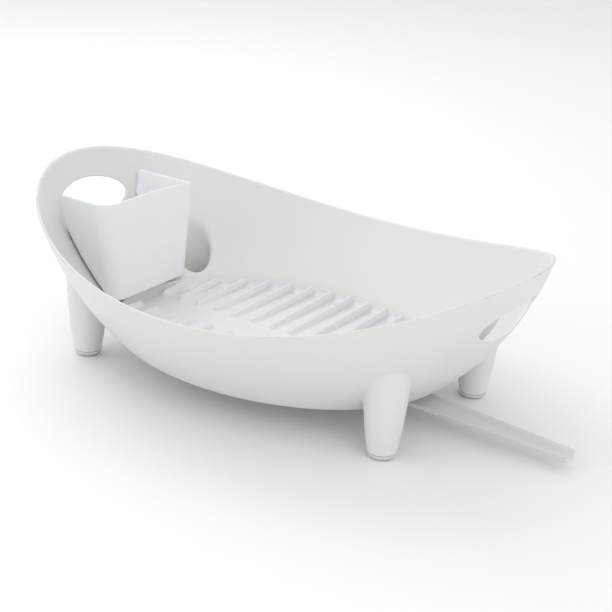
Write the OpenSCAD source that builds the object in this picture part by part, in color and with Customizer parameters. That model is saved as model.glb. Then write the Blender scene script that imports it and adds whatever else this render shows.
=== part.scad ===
// Dish drying rack: an oval tub on four hollow legs, with a ribbed drain tray, a cutlery cup
// and a swivelling drain spout hung under the tub's outlet.
// The rack stands on Z = 0, its long axis lies along X and the spout points along +X.

/* [Tub] */
// Length of the tub over its two raised ends
tub_l = 480; // [440:5:520]
// Width of the tub at its middle
tub_w = 330; // [310:5:350]
// Height of the rim at the two ends
end_h = 156; // [148:1:166]
// Height of the rim at the middle of the long sides
side_h = 102; // [96:1:108]
// Height of the tub's flat underside
base_h = 27; // [25:0.5:29]
// Thickness of the tub's wall
wall = 2.6; // [2.2:0.1:3]
// Radius of the wall's curve from base to rim
wall_curve_r = 235; // [225:5:250]
// Radius of the curve that joins the wall to the flat underside
base_curve_r = 17; // [14:1:20]

/* [Handle holes] */
// Width of each oval handle hole
handle_w = 88; // [80:2:98]
// Height of each oval handle hole
handle_h = 33; // [26:1:36]
// Distance from the end rim down to the middle of the hole
handle_drop = 43; // [40:0.5:45]

/* [Legs] */
// Distance of the legs from the middle, along the tub
leg_x = 155; // [148:1:160]
// Distance of the legs from the middle, across the tub
leg_y = 75; // [70:1:78]
// Radius of a leg where it is thickest, inside the tub's wall
leg_r = 19; // [17:0.5:20]
// Thickness of a leg's hollow wall
leg_wall = 2.4; // [2:0.1:2.8]
// Height of the soft pad under each leg
pad_h = 4.5; // [4:0.5:6]
// Radius of the flat that the pad stands on
pad_flat_r = 7; // [6:0.5:8]

/* [Drain tray] */
// Distance between neighbouring ribs
rib_pitch = 20.5; // [19.5:0.1:22]
// Number of ribs on each side of the drain channel
rib_count = 15; // [13:2:15]
// Height of a rib above the tray
rib_h = 4; // [3:0.5:5]
// Width of a rib at its foot
rib_w = 8; // [6:0.5:9]
// Climb of a rib's crest towards the tray's edge
rib_climb = 4; // [2:0.5:4]
// Half the width of the smooth channel between the ribs
channel_y = 14; // [12:1:18]
// Rise of the tray's plate at its edge
tray_rise = 5.5; // [5:0.5:6]
// Thickness of the tray's plate
tray_t = 1.8; // [1.6:0.1:2]

/* [Cutlery cup] */
// Height of the cup's open top above the ground
cup_top = 132; // [126:1:136]
// Gap between the tray's upright edge and the cup's underside
cup_clear = 3; // [2:0.5:5]
// Half the width of the cup at its top
cup_top_y = 55; // [51:1:56]
// Half the width of the cup at its underside
cup_base_y = 49; // [46:1:50]
// Thickness of the cup's wall
cup_wall = 2; // [1.6:0.1:2.2]
// Distance from the tub's end to the cup's flat front at its top
cup_depth = 88; // [86:1:92]
// Depth of the notch in the cup's back wall, below its top
cup_notch = 36; // [28:1:40]

/* [Drain spout] */
// Distance from the tub's middle to the spout's pivot
spout_x = 90; // [84:1:96]
// Length of the spout from its pivot to its tip
spout_l = 193; // [175:1:205]
// Width of the spout's open top at its root
spout_root_w = 34; // [28:1:34]
// Width of the spout's open top at its tip
spout_tip_w = 19; // [17:1:23]
// Fall of the spout's top edge from its root to its tip
spout_fall = 8.7; // [7:0.1:9.5]
// Depth of the spout at its tip
spout_tip_d = 7.2; // [6:0.1:8]
// Radius of the hollow neck that turns in the tub's outlet
neck_r = 10; // [9:0.5:11]

/* [Hidden] */
$fn = 96;

eps = 0.01;
// hair of play between a loose piece and the face it rests against
play = 0.1;
rise = end_h - side_h;
// the rim is an arc seen from the side, through the two ends and the low middle
rim_r = (pow(tub_l / 2, 2) + rise * rise) / (2 * rise);
// the wall's arc is centred above the rim and passes through the rim at the ends
wall_centre_up = 59;
wall_cz = end_h + wall_centre_up;
spare = 8;
wall_cx = tub_l / 2 - sqrt(pow(wall_curve_r, 2) - pow(wall_cz - end_h, 2));
// half-length of the tub's outside at height z, and how far its plan is squeezed in Y
function reach(z, t = 0) = wall_cx + sqrt(pow(wall_curve_r - t, 2) - pow(wall_cz - z, 2));
squeeze = tub_w / 2 / reach(side_h);
inner_squeeze = (tub_w / 2 - wall) / reach(side_h, wall);
// height of the tub's inner floor
floor_h = base_h + wall;
// inner wall in plan at height z: its distance from the middle along X at a given y
function inner_x(z, y, gap) = sqrt(pow(reach(z, wall + gap), 2) - pow(y / inner_squeeze, 2));
// leg outline: an arc that is widest inside the wall and tapers to the pad
leg_arc_r = 441;
leg_wide_z = 83;
leg_top_z = 96;
leg_floor = 4.5;
// soft pad under a leg
pad_curve_r = 5.2;
peg_r = 4;
peg_h = 5.5;
// drain outlet: a shallow well in the floor with a bore for the spout's neck
well_r = 22;
well_drop = 2;
well_floor = floor_h - well_drop;
well_wall = 2;
well_under = well_floor - well_wall;
run_gap = 0.06;
collar_r = 15.5;
collar_t = 1.8;
neck_top = well_floor + play + collar_t;
neck_wall = 2.5;
neck_bore_r = neck_r - neck_wall;
collar_dent_r = 1.6;
// the spout's flat head turns under the outlet, with a seal between them
head_r = 17;
seal_t = 1.2;
seal_w = 3.7;
seal_gap = 0.3;
head_top = well_under - seal_t - play;
spout_t = 1.5;
spout_root_h = head_top - 1;
spout_root_d = 3.8;
head_under = spout_root_h - spout_root_d;
spout_tip_h = spout_root_h - spout_fall;
trough_lean = 0.55;
trough_in = 6;
trough_cut = 2;
head_roof = 1.3;
head_gap = head_top - head_under - spout_t - head_roof;
// the tray sits on the floor with a hair of play
tray_under = floor_h + play;
tray_edge_z = tray_under + tray_rise;
tray_gap = 1.2;
tray_edge_r = reach(tray_edge_z, wall + tray_gap);
tray_turn_up = 10;
tray_flat_r = tray_edge_r - tray_turn_up;
tray_bevel = 2;
tray_foot_r = tray_edge_r - tray_bevel;
tray_lip = 1;
tray_top = tray_edge_z + tray_t + tray_lip;
outlet_r = 17.5;
rib_sunk = 0.9;
rib_reach = 60;
rib_top_w = 2;
rib_run_on = 4;
// cutlery cup
cup_base = tray_top + cup_clear;
cup_front = tub_l / 2 - cup_depth;
cup_gap = 1.5;
cup_flare = 9;
cup_foot_out = 6.5;
cup_corner_r = 15;
cup_steps = 10;
cup_rings = 7;
cup_sweep = 2.2;
cup_back_share = 0.7;
notch_reach = 60;
notch_corner_r = 8;
notch_side = 3;
// the back corners stand upright over this height below the top, clear of the leaning wall
corner_upright = 20;
corner_foot = 2;
notch_half = cup_top_y - cup_wall - notch_side;
// the whole rack is centred over the ground by its overall length
x_mid = (spout_x + spout_l - tub_l / 2) / 2;

white = [0.93, 0.94, 0.94];
soft = [0.82, 0.83, 0.83];

// places a sub-part drawn about the tub's middle in the rack's own frame
module placed() {
    translate([-x_mid, 0, 0]) children();
}

// ---------------------------------------------------------------- tub

// half section of the bowl, moved in by t: an arc for the wall and a small arc at its foot
module bowl_section(t) {
    foot_z = base_h + base_curve_r;
    span = wall_curve_r - base_curve_r;
    foot_x = wall_cx + sqrt(span * span - pow(wall_cz - foot_z, 2));
    join_z = foot_z - base_curve_r * (wall_cz - foot_z) / span;
    top = end_h + spare;
    intersection() {
        translate([wall_cx, wall_cz]) circle(r = wall_curve_r - t, $fn = 360);
        translate([0, join_z]) square([tub_l, top - join_z]);
    }
    translate([0, base_h + t]) square([foot_x, join_z - base_h - t]);
    intersection() {
        translate([foot_x, foot_z]) circle(r = base_curve_r - t);
        translate([foot_x, base_h]) square([base_curve_r, join_z - base_h]);
    }
}

// back half of the bowl
module half_bowl(t, squeezed) {
    scale([1, squeezed, 1]) rotate_extrude(angle = 180, $fn = 180) bowl_section(t);
}

// everything above the curved rim
module above_rim() {
    translate([0, 0, side_h + rim_r]) rotate([90, 0, 0])
        cylinder(r = rim_r, h = tub_w * 1.5, center = true, $fn = 360);
}

// outside half section of a leg, from height z up
module leg_section(r, from) {
    intersection() {
        translate([r - leg_arc_r, leg_wide_z]) circle(r = leg_arc_r, $fn = 360);
        translate([0, from]) square([r + 1, leg_top_z - from]);
    }
}

module at_back_legs() {
    for (sx = [-1, 1]) translate([sx * leg_x, leg_y, 0]) children();
}

module handle_hole() {
    rotate([90, 0, 90]) linear_extrude(tub_l / 2)
        scale([handle_w / handle_h, 1]) circle(d = handle_h);
}

// back half of the tub with its two hollow legs
module half_tub() {
    difference() {
        union() {
            half_bowl(0, squeeze);
            at_back_legs() rotate_extrude() leg_section(leg_r, pad_h);
        }
        half_bowl(wall, inner_squeeze);
        above_rim();
        at_back_legs() rotate_extrude() leg_section(leg_r - leg_wall, pad_h + leg_floor);
        at_back_legs() cylinder(r = peg_r, h = pad_h + leg_floor + 1);
    }
}

module tub() {
    color(white) placed() difference() {
        union() {
            half_tub();
            mirror([0, 1, 0]) half_tub();
            translate([spout_x, 0, well_under]) cylinder(r = well_r, h = floor_h - eps - well_under);
        }
        for (a = [0, 180]) rotate([0, 0, a]) translate([tub_l / 4, 0, end_h - handle_drop]) handle_hole();
        translate([spout_x, 0, well_floor]) cylinder(r = well_r - well_wall, h = well_drop + 1);
        translate([spout_x, 0, well_under - 1]) cylinder(r = neck_r + run_gap, h = well_drop + 4);
    }
}

// ---------------------------------------------------------------- foot pads

module foot_pad(sx, sy) {
    color(soft) placed() translate([sx * leg_x, sy * leg_y, 0]) {
        rotate_extrude() {
            square([pad_flat_r, pad_h]);
            intersection() {
                translate([pad_flat_r, pad_curve_r]) circle(r = pad_curve_r);
                translate([pad_flat_r, 0]) square([pad_curve_r, pad_h]);
            }
        }
        translate([0, 0, pad_h - 1]) cylinder(r = peg_r, h = peg_h + 1);
    }
}

// ---------------------------------------------------------------- drain tray

// half the tray's width at a place x along it
function tray_half(x) = inner_squeeze * sqrt(max(tray_edge_r * tray_edge_r - x * x, 0));

// back half of the plate: flat, turning up to a thin upright edge
module half_plate() {
    scale([1, inner_squeeze, 1]) rotate_extrude(angle = 180, $fn = 180)
        polygon([
            [0, tray_under],
            [tray_flat_r, tray_under],
            [tray_foot_r, tray_edge_z],
            [tray_edge_r, tray_edge_z],
            [tray_edge_r, tray_top],
            [tray_edge_r - tray_t, tray_top],
            [tray_edge_r - tray_t - tray_bevel, tray_edge_z + tray_t],
            [tray_flat_r - 1, tray_under + tray_t],
            [0, tray_under + tray_t]
        ]);
}

// one rib at x: a wedge with a rounded inner end, whose crest climbs towards the edge
module rib(x) {
    length = tray_half(x) - channel_y;
    if (length > rib_w)
        translate([x, channel_y + rib_w / 2, tray_under + tray_t])
            rotate([atan(rib_climb / max(length, rib_reach)), 0, 0]) {
                cylinder(r1 = rib_w / 2, r2 = rib_top_w / 2, h = rib_h, $fn = 32);
                translate([0, length, 0]) rotate([90, 0, 0]) linear_extrude(length)
                    polygon([
                        [-rib_w / 2, -rib_climb - rib_sunk], [rib_w / 2, -rib_climb - rib_sunk], [rib_w / 2, 0],
                        [rib_top_w / 2, rib_h], [-rib_top_w / 2, rib_h], [-rib_w / 2, 0]
                    ]);
            }
}

// the ribs stand on the plate and end short of its upright edge
module back_ribs() {
    intersection() {
        for (i = [0 : rib_count - 1]) rib((i - (rib_count - 1) / 2) * rib_pitch);
        translate([0, 0, tray_under + tray_t - rib_sunk]) linear_extrude(rib_sunk + 2 * rib_h + rib_climb)
            scale([1, inner_squeeze]) circle(r = tray_flat_r + rib_run_on, $fn = 180);
    }
}

module half_tray() {
    half_plate();
    back_ribs();
}

module drain_tray() {
    color(white) placed() difference() {
        union() {
            half_tray();
            mirror([0, 1, 0]) half_tray();
        }
        translate([spout_x, 0, 0]) cylinder(r = outlet_r, h = 60);
    }
}

// ---------------------------------------------------------------- cutlery cup

// share of the cup's height at z
function cup_share(z) = (z - cup_base) / (cup_top - cup_base);
// the cup's back follows the tub's end wall
function back_x(z, y) = -inner_x(z, y, cup_gap);
// half the width of the cup at height z
function cup_half(z) = cup_base_y + (cup_top_y - cup_base_y) * cup_share(z);
// the cup's front, for v from -1 to 1 across it: flat at its foot, and nearly flat at its top, where
// it sweeps towards the tub's middle at the back corner
function front_x(z, v) =
    -cup_front + cup_foot_out * (1 - cup_share(z)) + cup_flare * pow(max(v, 0), cup_sweep) * cup_share(z);

// outline of the cup at height z, moved in by t: the front from the back corner to the rounded
// front corner, then the end side back the other way
function cup_ring(z, t) =
    let (h = cup_half(z) - t, n = cup_steps, x0 = front_x(z, -1) - t)
    let (r = max(min(cup_corner_r - t, (x0 - back_x(z, h) - t) * cup_back_share), 0.5))
    concat(
        [for (i = [0 : n]) let (y = h - (2 * h - r) * i / n) [front_x(z, y / h) - t, y, z]],
        [for (i = [1 : n / 2]) let (a = -90 * i / (n / 2)) [x0 - r + r * cos(a), r - h + r * sin(a), z]],
        [for (i = [0 : n]) let (y = -h + 2 * h * i / n) [min(back_x(z, y) + t, x0 - r - 0.5), y, z]]
    );

// closed skin over a stack of outlines that all have the same number of points
module skin(rings) {
    m = len(rings[0]);
    last = len(rings) - 1;
    points = [for (ring = rings) for (p = ring) p];
    sides = [for (k = [0 : last - 1], i = [0 : m - 1])
        let (a = k * m + i, b = k * m + (i + 1) % m) each [[a, b, b + m], [a, b + m, a + m]]];
    floor_face = [[for (i = [m - 1 : -1 : 0]) i]];
    top_face = [[for (i = [0 : m - 1]) last * m + i]];
    polyhedron(points, concat(floor_face, sides, top_face), convexity = 6);
}

// the cup's body between two heights, moved in by t
module cup_body(from, to, t) {
    skin([for (k = [0 : cup_rings]) cup_ring(from + (to - from) * k / cup_rings, t)]);
}

module cutlery_cup() {
    corner_z = cup_top - corner_upright;
    corner_x = back_x(corner_z, cup_half(corner_z));
    color(white) placed() difference() {
        cup_body(cup_base, cup_top, 0);
        cup_body(cup_base + cup_wall, cup_top + 1, cup_wall);
        // wide notch in the back that leaves the handle hole free
        translate([-tub_l / 2, 0, cup_top - cup_notch]) hull() {
            for (sy = [-1, 1]) translate([0, sy * (notch_half - notch_corner_r), notch_corner_r])
                rotate([0, 90, 0]) cylinder(r = notch_corner_r, h = notch_reach, $fn = 32);
            translate([0, -notch_half, cup_notch]) cube([notch_reach, 2 * notch_half, 2]);
        }
        translate([corner_x - tub_l, -tub_w / 2, cup_top - cup_notch + corner_foot]) cube([tub_l, tub_w, cup_notch]);
    }
}

// ---------------------------------------------------------------- drain spout

// thin slice across the spout at x: an open-topped trough whose sides lean outwards
module trough_slice(x, top, depth, half_top, half_floor) {
    translate([x, 0, 0]) rotate([90, 0, 90]) linear_extrude(eps)
        polygon([[-half_top, top], [-half_floor, top - depth], [half_floor, top - depth], [half_top, top]]);
}

// solid trough from x = from to the tip, moved in by t; over is how far it stands above the edge
module trough(from, t, over) {
    hull() {
        trough_slice(from, spout_root_h + over, spout_root_d - t + over,
            spout_root_w / 2 - t + over * trough_lean, spout_root_w / 2 - spout_root_d * trough_lean - t);
        trough_slice(spout_l - eps + over, spout_tip_h + over, spout_tip_d - t + over,
            spout_tip_w / 2 - t + over * trough_lean, spout_tip_w / 2 - spout_tip_d * trough_lean - t);
    }
}

module drain_spout() {
    color(white) placed() translate([spout_x, 0, 0]) difference() {
        union() {
            translate([0, 0, head_under]) cylinder(r = head_r, h = head_top - head_under);
            translate([0, 0, head_top - 1]) cylinder(r = neck_r, h = neck_top - head_top + 1);
            trough(head_r - trough_in, 0, 0);
        }
        // water falls through the neck into the flat head and runs out along the trough
        translate([0, 0, head_under + spout_t]) cylinder(r = neck_bore_r, h = neck_top);
        translate([0, 0, head_under + spout_t]) cylinder(r = head_r - spout_t, h = head_gap);
        trough(head_r - trough_cut, spout_t, 3);
    }
}

module spout_seal() {
    color(soft) placed() translate([spout_x, 0, head_top]) difference() {
        cylinder(r = neck_r + seal_gap + seal_w, h = seal_t);
        translate([0, 0, -1]) cylinder(r = neck_r + seal_gap, h = seal_t + 2);
    }
}

// ring pressed on to the neck from inside the tub: it holds the spout up and turns with it
module spout_collar() {
    color(white) placed() translate([spout_x, 0, neck_top - collar_t]) difference() {
        cylinder(r = collar_r, h = collar_t);
        translate([0, 0, -1]) cylinder(r = neck_r, h = collar_t + 2);
        for (a = [0 : 90 : 270]) rotate([0, 0, a]) translate([collar_r, 0, -1])
            cylinder(r = collar_dent_r, h = collar_t + 2);
    }
}

tub();
foot_pad(-1, -1);  // foot_pad_front_left
foot_pad(1, -1);  // foot_pad_front_right
foot_pad(-1, 1);  // foot_pad_back_left
foot_pad(1, 1);  // foot_pad_back_right
drain_tray();
cutlery_cup();
drain_spout();
spout_seal();
spout_collar();
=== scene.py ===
"""Looks of the dish drying rack: its four large mouldings are built again with soft edges and fillets, the
small fittings keep their CAD meshes, and every piece gets a moulded plastic or a rubber finish.

Each moulding is described as a field: a function that is negative inside the plastic, zero on its surface and
positive outside, in millimetres from the tub's middle on the ground. A surface net turns it into a mesh.
"""

import math

import bpy
import numpy as np
from mathutils import Matrix, Vector


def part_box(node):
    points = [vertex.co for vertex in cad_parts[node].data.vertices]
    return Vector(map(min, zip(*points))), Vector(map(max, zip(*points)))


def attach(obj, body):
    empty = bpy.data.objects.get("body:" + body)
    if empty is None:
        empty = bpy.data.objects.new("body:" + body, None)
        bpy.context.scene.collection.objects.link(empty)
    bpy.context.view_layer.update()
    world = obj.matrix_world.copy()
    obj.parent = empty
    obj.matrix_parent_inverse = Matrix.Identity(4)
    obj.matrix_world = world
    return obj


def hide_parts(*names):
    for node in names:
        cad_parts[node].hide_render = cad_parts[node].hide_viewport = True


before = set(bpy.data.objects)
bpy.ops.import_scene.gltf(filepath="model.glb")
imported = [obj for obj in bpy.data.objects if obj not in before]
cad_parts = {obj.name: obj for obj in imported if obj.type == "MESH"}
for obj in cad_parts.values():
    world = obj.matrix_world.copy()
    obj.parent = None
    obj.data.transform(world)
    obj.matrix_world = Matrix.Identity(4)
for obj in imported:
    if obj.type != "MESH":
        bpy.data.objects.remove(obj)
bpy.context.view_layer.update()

MM = 0.001
TINY = 1e-3

# ---------------------------------------------------------------- sizes, in millimetres

tub_low, tub_high = (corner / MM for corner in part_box("tub"))
tray_low, tray_high = (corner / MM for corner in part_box("drain_tray"))
cup_low, cup_high = (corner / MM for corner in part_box("cutlery_cup"))
spout_low, spout_high = (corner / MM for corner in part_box("drain_spout"))
pad_low, pad_high = (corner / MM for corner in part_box("foot_pad_back_right"))
collar_low, collar_high = (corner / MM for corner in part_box("spout_collar"))

# the tub's middle along X in the frame, and the places of its fittings from there
TUB_MIDDLE = (tub_low.x + tub_high.x) / 2
LEG_X = (pad_low.x + pad_high.x) / 2 - TUB_MIDDLE
LEG_Y = (pad_low.y + pad_high.y) / 2
SPOUT_X = (collar_low.x + collar_high.x) / 2 - TUB_MIDDLE

# tub
TUB_HALF = (tub_high.x - tub_low.x) / 2
TUB_HALF_WIDTH = tub_high.y
END_H = tub_high.z
SIDE_H = 102.0
BASE_H = 27.0
WALL = 2.6
WALL_CURVE_R = 235.0
WALL_CURVE_Z = END_H + 59.0
FOOT_CURVE_R = 17.0
RIM_SOFT = 1.2
FLOOR_H = BASE_H + WALL

# handle holes
HANDLE_HALF = (44.0, 16.5)
HANDLE_Z = END_H - 43.0

# legs
LEG_R = 19.0
LEG_WALL = 2.4
LEG_CURVE_R = 441.0
LEG_WIDE_Z = 83.0
LEG_END = tub_low.z
LEG_FLOOR = 4.5
LEG_FILLET = 2.0
LEG_LIP = 4.0
LEG_END_SOFT = 0.3
LEG_HOLLOW_SOFT = 3.0

# outlet under the tray
WELL_R = 22.0
WELL_FLOOR = FLOOR_H - 2.0
WELL_T = 2.0
BORE_R = 10.06
BORE_SOFT = 0.4
WELL_SOFT = 0.6
WELL_TOP_SOFT = 0.8
BOSS_FILLET = 1.0

# drain tray
TRAY_UNDER = tray_low.z
TRAY_T = 1.8
TRAY_EDGE_R = (tray_high.x - tray_low.x) / 2
TRAY_BEND = 11.0
TRAY_LIP_Z = TRAY_UNDER + 8.3
RIB_PITCH = 20.5
RIB_LAST = 7
RIB_H = 4.0
RIB_HALF = 4.0
RIB_TOP_HALF = 1.0
RIB_START = 18.0
RIB_CLIMB = 4.0
RIB_REACH = 60.0
RIB_SOFT = 0.9
RIB_END_GAP = 2.4
RIB_END_SOFT = 0.6
RIB_FILLET = 1.4
TRAY_SOFT = 0.8
OUTLET_R = 17.5

# cutlery cup
CUP_BASE = cup_low.z
CUP_TOP = cup_high.z
CUP_HALF = (49.0, cup_high.y)
CUP_T = 2.0
CUP_FRONT = 152.0
CUP_FOOT_OUT = 6.5
CUP_FLARE = 9.0
CUP_GAP = 1.5
CUP_SWEEP = 2.2
CUP_CORNER = 15.0
CUP_CORNER_SOFT = 1.2
CUP_BACK_SOFT = 3.0
CUP_BASE_SOFT = 2.0
CUP_RIM_SOFT = 0.9
NOTCH_DEPTH = 36.0
NOTCH_HALF = 50.0
NOTCH_REACH = 22.0
NOTCH_CORNER = 10.0
NOTCH_SOFT = 0.8
CORNER_UPRIGHT = 20.0
CORNER_FOOT = 2.0
CORNER_R = 5.0
CORNER_SOFT = 0.7

# drain spout
SPOUT_L = spout_high.x - (SPOUT_X + TUB_MIDDLE)
HEAD_R = spout_high.y
HEAD_TOP = 24.3
NECK_R = 10.0
NECK_BORE_R = 7.5
NECK_TOP = spout_high.z
SPOUT_T = 1.5
ROOT_TOP, TIP_TOP = 23.3, 14.6
ROOT_DEPTH, TIP_DEPTH = 3.8, 7.2
ROOT_HALF, TIP_HALF = 17.0, 9.5
SIDE_LEAN = 0.55
HEAD_SOFT = 0.6
HEAD_ROOF = 1.2
NECK_SOFT = 0.3
NECK_SUNK = 1.0
TROUGH_IN = 6.0
WAY_OUT_IN = 8.0
TROUGH_OUTER_SOFT = 1.2
TROUGH_INNER_SOFT = 0.9
TROUGH_EDGE_SOFT = 0.6
TROUGH_TIP_SOFT = 0.5
TROUGH_FILLET = 0.8

# ---------------------------------------------------------------- ways to join fields


def soft_both(a, b, radius):
    """Inside both fields, with the edge between them rounded."""
    p, q = a + radius, b + radius
    return np.minimum(np.maximum(p, q), 0) + np.hypot(np.maximum(p, 0), np.maximum(q, 0)) - radius


def soft_either(a, b, blend):
    """Inside either field, with a fillet in the crease between them."""
    h = np.maximum(blend - np.abs(a - b), 0) / blend
    return np.minimum(a, b) - h * h * blend / 4


# ---------------------------------------------------------------- the tub's own curves

WALL_CURVE_X = TUB_HALF - math.sqrt(WALL_CURVE_R**2 - (WALL_CURVE_Z - END_H) ** 2)
FOOT_Z = BASE_H + FOOT_CURVE_R
FOOT_SPAN = WALL_CURVE_R - FOOT_CURVE_R
FOOT_X = WALL_CURVE_X + math.sqrt(FOOT_SPAN**2 - (WALL_CURVE_Z - FOOT_Z) ** 2)
RIM_R = (TUB_HALF**2 + (END_H - SIDE_H) ** 2) / (2 * (END_H - SIDE_H))


def reach(z, inset=0.0):
    """Half-length of the tub at height z, moved in by inset."""
    return WALL_CURVE_X + math.sqrt((WALL_CURVE_R - inset) ** 2 - (WALL_CURVE_Z - z) ** 2)


SQUEEZE = TUB_HALF_WIDTH / reach(SIDE_H)
INNER_SQUEEZE = (TUB_HALF_WIDTH - WALL) / reach(SIDE_H, WALL)


def oval_radius(x, y, squeeze=INNER_SQUEEZE):
    """Distance from the tub's middle, measured as if its oval plan were a circle."""
    return np.hypot(x, y / squeeze)


def bowl(x, y, z, squeeze, inset=0.0):
    """The tub's solid outline moved in by inset: flat base, foot curve and curved wall."""
    r = np.maximum(oval_radius(x, y, squeeze), TINY)
    z = z + 0 * r
    stretch = (x * x + y * y / squeeze**4) / (r * r)
    wall_r, wall_z = r - WALL_CURVE_X, z - WALL_CURVE_Z
    foot_r, foot_z = r - FOOT_X, z - FOOT_Z
    wall_len, foot_len = np.hypot(wall_r, wall_z), np.hypot(foot_r, foot_z)
    out_r, out_z = (FOOT_X - WALL_CURVE_X) / FOOT_SPAN, (FOOT_Z - WALL_CURVE_Z) / FOOT_SPAN
    on_floor = foot_r <= 0
    on_foot = ~on_floor & (out_z * foot_r - out_r * foot_z > 0)
    distance = np.where(on_foot, foot_len - FOOT_CURVE_R, wall_len - WALL_CURVE_R)
    distance = np.where(on_floor, np.maximum(BASE_H - z, distance), distance)
    lean = np.where(on_foot, foot_r / np.maximum(foot_len, TINY), wall_r / wall_len)
    lean = np.where(on_floor & (BASE_H - z > wall_len - WALL_CURVE_R), 0, lean)
    return (distance + inset) / np.sqrt(1 + lean * lean * (stretch - 1))


def leg_outline(x, y, z, inset=0.0):
    """A leg's tapering round outline, moved in by inset."""
    across = np.hypot(np.abs(x) - LEG_X, np.abs(y) - LEG_Y)
    return np.hypot(across - (LEG_R - LEG_CURVE_R), z - LEG_WIDE_Z) - LEG_CURVE_R + inset


def handle_holes(x, y, z):
    """An oval hole through each end wall."""
    hole_y, hole_z = y / HANDLE_HALF[0], (z - HANDLE_Z) / HANDLE_HALF[1]
    oval = np.maximum(np.hypot(hole_y, hole_z), TINY)
    slope = np.hypot(hole_y / HANDLE_HALF[0], hole_z / HANDLE_HALF[1])
    return np.where(np.abs(x) > TUB_HALF / 2, (oval - 1) * oval / np.maximum(slope, TINY**2), TUB_HALF)


def tub_field(x, y, z):
    """The bowl on its hollow legs, with a curved rim, two handle holes and the drain outlet."""
    legs = soft_both(leg_outline(x, y, z), LEG_END - z, LEG_END_SOFT)
    outlet = np.hypot(x - SPOUT_X, y)
    boss = soft_both(outlet - WELL_R, WELL_FLOOR - WELL_T - z, WELL_SOFT)
    outside = soft_either(bowl(x, y, z, SQUEEZE), legs, LEG_FILLET)
    outside = soft_either(outside, boss, BOSS_FILLET)
    hollows = soft_both(leg_outline(x, y, z, LEG_WALL), LEG_END + LEG_FLOOR - z, LEG_HOLLOW_SOFT)
    inside = soft_either(bowl(x, y, z, INNER_SQUEEZE, WALL), hollows, LEG_LIP)
    well = soft_both(outlet - (WELL_R - WELL_T), WELL_FLOOR - z, WELL_SOFT)
    inside = soft_either(inside, well, WELL_TOP_SOFT)
    shell = np.maximum(outside, -inside)
    above_rim = np.hypot(x, z - SIDE_H - RIM_R) - RIM_R
    shell = soft_both(shell, -above_rim, RIM_SOFT)
    shell = soft_both(shell, -handle_holes(x, y, z), RIM_SOFT)
    return soft_both(shell, BORE_R - outlet, BORE_SOFT)


# ---------------------------------------------------------------- tray, cup and spout


def dish(x, y, z, inset):
    """The tray's flat plate with its turned-up edge, moved in by inset."""
    r = np.maximum(oval_radius(x, y), TINY)
    stretch = np.hypot(x, y / INNER_SQUEEZE**2) / r
    edge = (r - TRAY_EDGE_R + inset) / stretch
    return soft_both(edge, TRAY_UNDER + inset - z, TRAY_BEND - inset)


def ribs(x, y, z):
    """Wedges across the tray in two rows, with rounded inner ends and crests that climb to the edge."""
    index = np.clip(np.round(x / RIB_PITCH), -RIB_LAST, RIB_LAST)
    rib_x = index * RIB_PITCH
    along = np.abs(y) - RIB_START
    room = INNER_SQUEEZE * np.sqrt(np.maximum(TRAY_EDGE_R**2 - rib_x**2, 0)) - RIB_START
    slope = RIB_CLIMB / np.maximum(room, RIB_REACH)
    foot = TRAY_UNDER + TRAY_T + slope * along
    across = np.hypot(x - rib_x, np.minimum(along, 0))
    taper = (RIB_HALF - RIB_TOP_HALF) / RIB_H
    side = (across - RIB_HALF + taper * np.maximum(z - foot, 0)) / math.hypot(1, taper)
    wedge = soft_both(side, z - foot - RIB_H, RIB_SOFT)
    return soft_both(wedge, oval_radius(x, y) - TRAY_EDGE_R + RIB_END_GAP, RIB_END_SOFT)


def tray_field(x, y, z):
    """The thin plate with its ribs, and a round opening over the spout's collar."""
    plate = np.maximum(dish(x, y, z, 0.0), -dish(x, y, z, TRAY_T))
    plate = soft_both(plate, z - TRAY_LIP_Z, TRAY_SOFT)
    standing = np.maximum(ribs(x, y, z), TRAY_UNDER + TRAY_T / 2 - z)
    standing = np.maximum(standing, dish(x, y, z, TRAY_T / 2))
    tray = soft_either(plate, standing, RIB_FILLET)
    return soft_both(tray, OUTLET_R - np.hypot(x - SPOUT_X, y), TRAY_SOFT)


def cup_share(z):
    """Share of the cup's height at z."""
    return (z - CUP_BASE) / (CUP_TOP - CUP_BASE)


def cup_half(z):
    """Half the width of the cup at z."""
    return CUP_HALF[0] + (CUP_HALF[1] - CUP_HALF[0]) * cup_share(z)


# the cup's back corners stand upright where its leaning back reaches them, this far below the top
CORNER_Z = CUP_TOP - CORNER_UPRIGHT
CORNER_X = math.sqrt(reach(CORNER_Z, WALL + CUP_GAP) ** 2 - (cup_half(CORNER_Z) / INNER_SQUEEZE) ** 2)


def cup_room(x, y, z, inset):
    """The cup's outline without its top, moved in by inset."""
    share, half = cup_share(z), cup_half(z)
    sweep = CUP_FLARE * np.maximum(y / half, 0) ** CUP_SWEEP * share
    front = x + CUP_FRONT - CUP_FOOT_OUT * (1 - share) - sweep + inset
    room = soft_both(front, -y - half + inset, CUP_CORNER - inset)
    room = soft_both(room, y - half + inset, CUP_CORNER_SOFT)
    back = bowl(x, y, z, INNER_SQUEEZE, WALL + CUP_GAP + inset)
    room = soft_both(room, back, CUP_BACK_SOFT)
    return soft_both(room, CUP_BASE + inset - z, CUP_BASE_SOFT)


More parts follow.
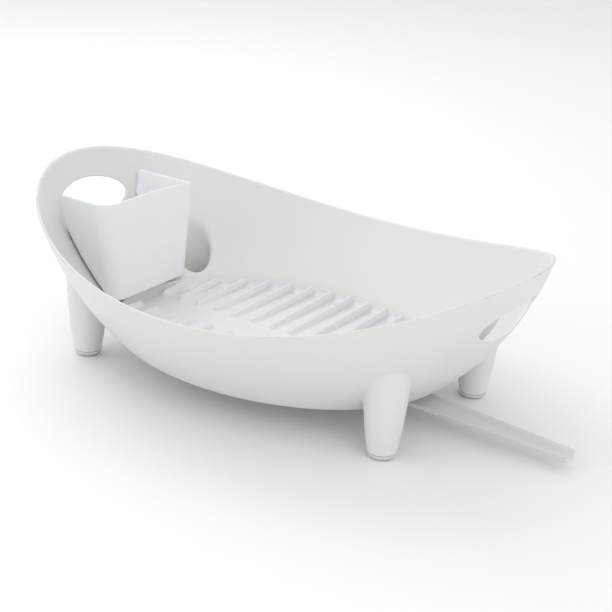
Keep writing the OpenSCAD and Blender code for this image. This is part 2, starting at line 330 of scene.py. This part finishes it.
def cup_field(x, y, z):
    """The open cup, with a wide notch in its back and rounded upright back corners."""
    shell = np.maximum(cup_room(x, y, z, 0.0), -cup_room(x, y, z, CUP_T))
    shell = soft_both(shell, z - CUP_TOP, CUP_RIM_SOFT)
    notch = soft_both(np.abs(y) - NOTCH_HALF, CUP_TOP - NOTCH_DEPTH - z, NOTCH_CORNER)
    notch = np.maximum(notch, x + CUP_FRONT + NOTCH_REACH)
    corner = soft_both(-CORNER_X - x, z - CUP_TOP, CORNER_R)
    near_corner = (x < CORNER_R - CORNER_X) & (z > CUP_TOP - NOTCH_DEPTH + CORNER_FOOT)
    corner = np.where(near_corner, corner, -CUP_TOP)
    return soft_both(soft_both(shell, corner, CORNER_SOFT), -notch, NOTCH_SOFT)


def upright_disc(across, z, radius, low, high, soft):
    """An upright cylinder between two heights, with rounded edges."""
    return soft_both(across - radius, np.abs(z - (low + high) / 2) - (high - low) / 2, soft)


def spout_field(x, y, z):
    """The flat head with its hollow neck, and the open tapering trough that the water runs out along."""
    along = x - SPOUT_X
    share = along / SPOUT_L
    across = np.hypot(along, y)
    head_under = ROOT_TOP - ROOT_DEPTH
    head = upright_disc(across, z, HEAD_R, head_under, HEAD_TOP, HEAD_SOFT)
    neck = upright_disc(across, z, NECK_R, HEAD_TOP - NECK_SUNK, NECK_TOP, NECK_SOFT)
    top = ROOT_TOP + (TIP_TOP - ROOT_TOP) * share
    under = top - ROOT_DEPTH - (TIP_DEPTH - ROOT_DEPTH) * share
    half = ROOT_HALF + (TIP_HALF - ROOT_HALF) * share
    side = (np.abs(y) - half + SIDE_LEAN * (top - z)) / math.hypot(1, SIDE_LEAN)
    outer = soft_both(side, under - z, TROUGH_OUTER_SOFT)
    inner = soft_both(side + SPOUT_T, under + SPOUT_T - z, TROUGH_INNER_SOFT)
    trough = np.maximum(outer, -inner)
    trough = soft_both(trough, z - top, TROUGH_EDGE_SOFT)
    trough = soft_both(trough, along - SPOUT_L, TROUGH_TIP_SOFT)
    trough = np.maximum(trough, HEAD_R - TROUGH_IN - along)
    body = soft_either(np.minimum(head, neck), trough, TROUGH_FILLET)
    bore = np.maximum(across - NECK_BORE_R, head_under + SPOUT_T - z)
    way_out = np.maximum(np.maximum(inner, HEAD_R - WAY_OUT_IN - along), z - HEAD_TOP + HEAD_ROOF)
    return np.maximum(body, -np.minimum(bore, way_out))


# ---------------------------------------------------------------- from a field to a mesh

# corners and edges of a grid cell
CELL_CORNERS = np.array([[i, j, k] for i in (0, 1) for j in (0, 1) for k in (0, 1)])
CELL_EDGES = [(a, b) for a in range(8) for b in range(a + 1, 8)
              if np.abs(CELL_CORNERS[a] - CELL_CORNERS[b]).sum() == 1]
SLAB = 16


def slope_of(field, points, reach_out=0.05):
    """The field's gradient at each point."""
    out = np.empty_like(points)
    for axis in range(3):
        step = np.zeros(3)
        step[axis] = reach_out
        ahead, behind = points + step, points - step
        out[:, axis] = (field(*ahead.T) - field(*behind.T)) / (2 * reach_out)
    return out


def settle(field, points, steps, longest):
    """Moves points on to the field's surface, each by no more than longest in a step."""
    for _ in range(steps):
        slope = slope_of(field, points)
        move = -field(*points.T)[:, None] * slope / np.maximum((slope**2).sum(1), 0.05)[:, None]
        length = np.linalg.norm(move, axis=1)
        points = points + move * np.minimum(1, longest / np.maximum(length, 1e-9))[:, None]
    return points


def surface_net(field, low, high, step):
    """Points and four-sided faces of the field's surface, on a grid with the given step."""
    counts = [int(math.ceil((high[a] - low[a]) / step)) + 1 for a in range(3)]
    axes = [low[a] + step * np.arange(counts[a]) for a in range(3)]
    across, up = axes[1][None, :, None], axes[2][None, None, :]
    values = np.concatenate([field(axes[0][i:i + SLAB, None, None], across, up).astype(np.float32)
                             for i in range(0, counts[0], SLAB)])
    inside = values < 0
    cells = [n - 1 for n in counts]
    full = np.zeros(cells, np.uint8)
    for i, j, k in CELL_CORNERS:
        full += inside[i:i + cells[0], j:j + cells[1], k:k + cells[2]]
    active = np.argwhere((full > 0) & (full < 8))
    number = np.full(cells, -1, np.int32)
    number[tuple(active.T)] = np.arange(len(active))
    held = np.stack([values[tuple((active + c).T)] for c in CELL_CORNERS], 1)
    total, crossings = np.zeros((len(active), 3)), np.zeros(len(active))
    for a, b in CELL_EDGES:
        crosses = (held[:, a] < 0) != (held[:, b] < 0)
        gap = np.where(crosses, held[:, a] - held[:, b], 1)
        share = np.where(crosses, held[:, a] / gap, 0)
        start, end = CELL_CORNERS[a], CELL_CORNERS[b]
        total += crosses[:, None] * (start + share[:, None] * (end - start))
        crossings += crosses
    points = np.array(low) + step * (active + total / crossings[:, None])
    faces = []
    for axis in range(3):
        ahead = [slice(None)] * 3
        behind = [slice(None)] * 3
        ahead[axis], behind[axis] = slice(1, None), slice(None, -1)
        changes = inside[tuple(ahead)] != inside[tuple(behind)]
        at = np.argwhere(changes)
        u, v = (axis + 1) % 3, (axis + 2) % 3
        at = at[(at[:, u] > 0) & (at[:, v] > 0) & (at[:, u] < cells[u]) & (at[:, v] < cells[v])]
        corners = []
        for du, dv in ((1, 1), (0, 1), (0, 0), (1, 0)):
            cell = at.copy()
            cell[:, u] -= du
            cell[:, v] -= dv
            corners.append(number[tuple(cell.T)])
        quad = np.stack(corners, 1)
        leaving = inside[tuple(at.T)]
        faces.append(np.where(leaving[:, None], quad, quad[:, ::-1]))
    return points, np.concatenate(faces)


def mesh_from(name, points, faces):
    """A Blender mesh of these four-sided faces, placed in the frame."""
    mesh = bpy.data.meshes.new(name)
    mesh.vertices.add(len(points))
    mesh.vertices.foreach_set("co", to_frame(points).ravel())
    mesh.loops.add(faces.size)
    mesh.loops.foreach_set("vertex_index", faces.astype(np.int32).ravel())
    mesh.polygons.add(len(faces))
    mesh.polygons.foreach_set("loop_start", np.arange(0, faces.size, 4, dtype=np.int32))
    mesh.update(calc_edges=True)
    mesh.validate()
    return mesh


def to_frame(points):
    """Points from the tub's middle in millimetres, placed in the frame in metres."""
    return ((points + [TUB_MIDDLE, 0, 0]) * MM).astype(np.float32)


def from_frame(mesh):
    """A mesh's points, from the tub's middle in millimetres."""
    flat = np.empty(len(mesh.vertices) * 3, np.float32)
    mesh.vertices.foreach_get("co", flat)
    return flat.reshape(-1, 3).astype(float) / MM - [TUB_MIDDLE, 0, 0]


def moulding(name, field, low, high, step, most_triangles=None):
    """A smooth object made from a field inside a box, thinned if it has more than most_triangles."""
    points, faces = surface_net(field, low, high, step)
    points = settle(field, points, 4, step / 3)
    obj = bpy.data.objects.new(name, mesh_from(name, points, faces))
    bpy.context.scene.collection.objects.link(obj)
    if most_triangles and 2 * len(faces) > most_triangles:
        thin = obj.modifiers.new("thin", "DECIMATE")
        thin.ratio = most_triangles / (2 * len(faces))
        evaluated = obj.evaluated_get(bpy.context.evaluated_depsgraph_get())
        thinned = bpy.data.meshes.new_from_object(evaluated)
        obj.modifiers.remove(thin)
        obj.data = thinned
    mesh = obj.data
    points = settle(field, from_frame(mesh), 2, step / 4)
    mesh.vertices.foreach_set("co", to_frame(points).ravel())
    mesh.polygons.foreach_set("use_smooth", np.ones(len(mesh.polygons), bool))
    normals = slope_of(field, points)
    normals /= np.maximum(np.linalg.norm(normals, axis=1), 1e-6)[:, None]
    facing = np.empty(len(mesh.vertices) * 3, np.float32)
    mesh.vertex_normals.foreach_get("vector", facing)
    facing = facing.reshape(-1, 3)
    # where the field has a crease its gradient can point astray, and the mesh's own normal is used
    astray = (normals * facing).sum(1) < 0.6
    normals[astray] = facing[astray]
    mesh.normals_split_custom_set_from_vertices(normals.tolist())
    mesh.update()
    return obj


# ---------------------------------------------------------------- shared finishes


def shader_group(name, inputs, outputs):
    """An empty node group with these named number or colour sockets; returns it with its two end nodes."""
    group = bpy.data.node_groups.new(name, "ShaderNodeTree")
    for label, default in inputs.items():
        kind = "NodeSocketColor" if isinstance(default, tuple) else "NodeSocketFloat"
        group.interface.new_socket(label, in_out="INPUT", socket_type=kind).default_value = default
    for label, kind in outputs.items():
        group.interface.new_socket(label, in_out="OUTPUT", socket_type=kind)
    return group, group.nodes.new("NodeGroupInput"), group.nodes.new("NodeGroupOutput")


def noise(nodes, links, scale, detail, where, roughness=0.5):
    """A noise texture read at where."""
    node = nodes.new("ShaderNodeTexNoise")
    node.inputs["Scale"].default_value = scale
    node.inputs["Detail"].default_value = detail
    node.inputs["Roughness"].default_value = roughness
    links.new(where, node.inputs["Vector"])
    return node


def scaled(nodes, links, value, low, high, to_low, to_high):
    """A value stretched from one span to another and held within it."""
    node = nodes.new("ShaderNodeMapRange")
    node.inputs["From Min"].default_value = low
    node.inputs["From Max"].default_value = high
    node.inputs["To Min"].default_value = to_low
    node.inputs["To Max"].default_value = to_high
    links.new(value, node.inputs["Value"])
    return node.outputs["Result"]


def combined(nodes, links, operation, a, b):
    """Two values added or multiplied."""
    node = nodes.new("ShaderNodeMath")
    node.operation = operation
    links.new(a, node.inputs[0])
    links.new(b, node.inputs[1])
    return node.outputs["Value"]


def make_moulded_grain():
    """Colour drift, roughness and fine surface relief of moulded plastic."""
    group, given, result = shader_group(
        "Moulded grain",
        {"Colour": (0.9, 0.9, 0.9, 1.0), "Drift colour": (0.88, 0.88, 0.87, 1.0), "Drift": 0.5,
         "Roughness": 0.3, "Roughness spread": 0.05, "Grain": 1.0},
        {"Colour": "NodeSocketColor", "Roughness": "NodeSocketFloat", "Height": "NodeSocketFloat"})
    nodes, links = group.nodes, group.links
    place = nodes.new("ShaderNodeTexCoord").outputs["Object"]
    drift = scaled(nodes, links, noise(nodes, links, 9, 3, place).outputs["Fac"], 0.35, 0.65, 0, 1)
    mix = nodes.new("ShaderNodeMix")
    mix.data_type = "RGBA"
    links.new(combined(nodes, links, "MULTIPLY", drift, given.outputs["Drift"]), mix.inputs["Factor"])
    links.new(given.outputs["Colour"], mix.inputs["A"])
    links.new(given.outputs["Drift colour"], mix.inputs["B"])
    links.new(mix.outputs["Result"], result.inputs["Colour"])
    smear = scaled(nodes, links, noise(nodes, links, 35, 4, place, 0.6).outputs["Fac"], 0.3, 0.7, -1, 1)
    spread = combined(nodes, links, "MULTIPLY", smear, given.outputs["Roughness spread"])
    links.new(combined(nodes, links, "ADD", given.outputs["Roughness"], spread), result.inputs["Roughness"])
    peel = noise(nodes, links, 260, 2, place).outputs["Fac"]
    speck = scaled(nodes, links, noise(nodes, links, 1400, 1, place).outputs["Fac"], 0, 1, 0, 0.25)
    relief = combined(nodes, links, "ADD", peel, speck)
    height = combined(nodes, links, "MULTIPLY", relief, given.outputs["Grain"])
    links.new(height, result.inputs["Height"])
    return group


def make_handling_wear():
    """Mask of the faint scuffs that plates and hands leave, as broken thin streaks."""
    group, given, result = shader_group(
        "Handling wear", {"Amount": 0.3, "Fineness": 1.0}, {"Mask": "NodeSocketFloat"})
    nodes, links = group.nodes, group.links
    place = nodes.new("ShaderNodeTexCoord").outputs["Object"]
    stretch = nodes.new("ShaderNodeMapping")
    stretch.inputs["Scale"].default_value = (18, 150, 60)
    stretch.inputs["Rotation"].default_value = (0.3, 0.2, 0.7)
    links.new(place, stretch.inputs["Vector"])
    streaks = noise(nodes, links, 1, 3, stretch.outputs["Vector"], 0.6)
    links.new(given.outputs["Fineness"], streaks.inputs["Scale"])
    thin = scaled(nodes, links, streaks.outputs["Fac"], 0.62, 0.72, 0, 1)
    patches = scaled(nodes, links, noise(nodes, links, 14, 2, place).outputs["Fac"], 0.5, 0.7, 0, 1)
    broken = combined(nodes, links, "MULTIPLY", thin, patches)
    links.new(combined(nodes, links, "MULTIPLY", broken, given.outputs["Amount"]), result.inputs["Mask"])
    return group


MOULDED_GRAIN = make_moulded_grain()
HANDLING_WEAR = make_handling_wear()


PLASTIC_IOR = 1.49
RELIEF_DEPTH = 0.0001


def finish_material(name, colour, drift_colour, drift, roughness, spread, wear, bump, grain=1.0, gloss=0.45):
    """A plastic or rubber with drifting colour, uneven roughness, scuffs and fine relief."""
    material = bpy.data.materials.new(name)
    material.use_nodes = True
    nodes, links = material.node_tree.nodes, material.node_tree.links
    shader = nodes["Principled BSDF"]
    shader.inputs["IOR"].default_value = PLASTIC_IOR
    shader.inputs["Specular IOR Level"].default_value = gloss
    skin = nodes.new("ShaderNodeGroup")
    skin.node_tree = MOULDED_GRAIN
    skin.inputs["Colour"].default_value = (*colour, 1)
    skin.inputs["Drift colour"].default_value = (*drift_colour, 1)
    skin.inputs["Drift"].default_value = drift
    skin.inputs["Roughness"].default_value = roughness
    skin.inputs["Roughness spread"].default_value = spread
    skin.inputs["Grain"].default_value = grain
    scuffs = nodes.new("ShaderNodeGroup")
    scuffs.node_tree = HANDLING_WEAR
    scuffs.inputs["Amount"].default_value = wear
    links.new(skin.outputs["Colour"], shader.inputs["Base Color"])
    uneven = combined(nodes, links, "ADD", skin.outputs["Roughness"], scuffs.outputs["Mask"])
    links.new(uneven, shader.inputs["Roughness"])
    relief = nodes.new("ShaderNodeBump")
    relief.inputs["Strength"].default_value = bump
    relief.inputs["Distance"].default_value = RELIEF_DEPTH
    links.new(skin.outputs["Height"], relief.inputs["Height"])
    links.new(relief.outputs["Normal"], shader.inputs["Normal"])
    return material


TUB_PLASTIC = finish_material(
    "Tub plastic", (0.745, 0.755, 0.74), (0.735, 0.745, 0.73),
    drift=0.6, roughness=0.34, spread=0.04, wear=0.02, bump=0.2)
TRAY_PLASTIC = finish_material(
    "Tray plastic", (0.72, 0.735, 0.74), (0.71, 0.725, 0.73),
    drift=0.5, roughness=0.34, spread=0.025, wear=0.01, bump=0.12)
CUP_PLASTIC = finish_material(
    "Cup plastic", (0.84, 0.86, 0.875), (0.83, 0.85, 0.865),
    drift=0.5, roughness=0.32, spread=0.04, wear=0.02, bump=0.2)
SPOUT_PLASTIC = finish_material(
    "Spout plastic", (0.69, 0.70, 0.70), (0.68, 0.69, 0.69),
    drift=0.6, roughness=0.36, spread=0.05, wear=0.03, bump=0.2)
PAD_RUBBER = finish_material(
    "Pad rubber", (0.71, 0.715, 0.70), (0.68, 0.685, 0.67),
    drift=0.8, roughness=0.72, spread=0.08, wear=0.15, bump=0.5, grain=2.0, gloss=0.3)
SEAL_RUBBER = finish_material(
    "Seal rubber", (0.58, 0.585, 0.585), (0.53, 0.535, 0.535),
    drift=0.8, roughness=0.68, spread=0.08, wear=0.1, bump=0.5, grain=2.0, gloss=0.3)

# ---------------------------------------------------------------- pieces

MARGIN = 4.0


def room_for(low, high):
    """A node's box moved to the tub's middle and widened a little."""
    shift = np.array([TUB_MIDDLE, 0, 0])
    return np.array(low) - shift - MARGIN, np.array(high) - shift + MARGIN


MOST_TUB_TRIANGLES = 190000

# name, field, body, node replaced, its box, grid step (finer for thin walls), most triangles, material, slot
PIECES = [
    ("tub_shell", tub_field, "tub", "tub", (tub_low, tub_high),
     1.3, MOST_TUB_TRIANGLES, TUB_PLASTIC, "tub_plastic"),
    ("ribbed_tray", tray_field, "tray", "drain_tray", (tray_low, tray_high),
     0.9, None, TRAY_PLASTIC, "tray_plastic"),
    ("cup_shell", cup_field, "cup", "cutlery_cup", (cup_low, cup_high),
     1.0, None, CUP_PLASTIC, "cup_plastic"),
    ("spout_trough", spout_field, "spout", "drain_spout", (spout_low, spout_high),
     0.6, None, SPOUT_PLASTIC, "spout_plastic"),
]

for name, field, body, node, box, step, most, material, slot in PIECES:
    piece = moulding(name, field, *room_for(*box), step, most)
    piece.data.materials.append(material)
    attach(piece, body)
    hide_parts(node)

FITTINGS = {
    "foot_pad_front_left": PAD_RUBBER,
    "foot_pad_front_right": PAD_RUBBER,
    "foot_pad_back_left": PAD_RUBBER,
    "foot_pad_back_right": PAD_RUBBER,
    "spout_seal": SEAL_RUBBER,
    "spout_collar": SPOUT_PLASTIC,
}

for node, material in FITTINGS.items():
    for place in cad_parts[node].material_slots:
        place.material = material

# ---------------------------------------------------------------- floor, light and camera


def stage_material(name, colour, roughness):
    """A plain matt finish for the studio."""
    material = bpy.data.materials.new(name)
    material.use_nodes = True
    shader = material.node_tree.nodes["Principled BSDF"]
    shader.inputs["Base Color"].default_value = (*colour, 1)
    shader.inputs["Roughness"].default_value = roughness
    shader.inputs["Specular IOR Level"].default_value = 0.2
    return material


def make_floor(half, depth=0.0005):
    """A plain pale floor, a hair under the pads."""
    mesh = bpy.data.meshes.new("studio_floor")
    corners = [(-half, -half, -depth), (half, -half, -depth), (half, half, -depth), (-half, half, -depth)]
    mesh.from_pydata(corners, [], [(0, 1, 2, 3)])
    floor = bpy.data.objects.new("studio_floor", mesh)
    bpy.context.scene.collection.objects.link(floor)
    mesh.materials.append(stage_material("Studio floor", (0.88, 0.88, 0.88), 0.7))


def make_light(name, place, aim, size, power, colour):
    """A square soft light at place that shines at aim."""
    lamp = bpy.data.lights.new(name, "AREA")
    lamp.shape = "SQUARE"
    lamp.size = size
    lamp.energy = power
    lamp.color = colour
    obj = bpy.data.objects.new(name, lamp)
    obj.location = place
    obj.rotation_euler = (Vector(aim) - Vector(place)).to_track_quat("-Z", "Y").to_euler()
    bpy.context.scene.collection.objects.link(obj)


def make_world(colour, strength):
    """Even light from all round."""
    world = bpy.data.worlds.new("Studio air")
    world.use_nodes = True
    air = world.node_tree.nodes["Background"]
    air.inputs["Color"].default_value = (*colour, 1)
    air.inputs["Strength"].default_value = strength
    bpy.context.scene.world = world


def make_camera(azimuth, elevation, roll, distance, aim, lens):
    """A camera that looks at aim from azimuth and elevation, turned by roll about its own line of sight."""
    turn, tilt = math.radians(azimuth), math.radians(elevation)
    back = Vector((math.sin(turn) * math.cos(tilt), -math.cos(turn) * math.cos(tilt), math.sin(tilt)))
    level = Vector((math.cos(turn), math.sin(turn), 0))
    upright = back.cross(level)
    lean = math.radians(roll)
    right = level * math.cos(lean) + upright * math.sin(lean)
    up = upright * math.cos(lean) - level * math.sin(lean)
    data = bpy.data.cameras.new("studio_camera")
    data.lens = lens
    data.sensor_width = 36
    data.clip_start, data.clip_end = 0.05, 20
    camera = bpy.data.objects.new("studio_camera", data)
    camera.matrix_world = Matrix((
        (right.x, up.x, back.x, aim[0] + back.x * distance),
        (right.y, up.y, back.y, aim[1] + back.y * distance),
        (right.z, up.z, back.z, aim[2] + back.z * distance),
        (0, 0, 0, 1)))
    bpy.context.scene.collection.objects.link(camera)
    bpy.context.scene.camera = camera


make_floor(6)
make_world((1.0, 1.0, 1.0), 0.85)
make_light("soft_top", (-0.9, 0.4, 1.3), (0, 0, 0.05), 1.2, 8, (0.97, 0.99, 1.0))
make_light("soft_right", (1.5, -0.9, 1.1), (-0.1, 0, 0.08), 1.0, 6, (0.98, 0.99, 1.0))
make_light("soft_left", (-1.2, -1.3, 0.9), (0, 0, 0.06), 1.2, 4, (1.0, 0.99, 0.98))
make_camera(azimuth=33.25, elevation=21.77, roll=3.23, distance=1.3146,
            aim=((TUB_MIDDLE + 26.47) * MM, 0.0, 0.07077), lens=90.16)
bpy.context.scene.view_settings.view_transform = "Standard"

bpy.context.view_layer.update()
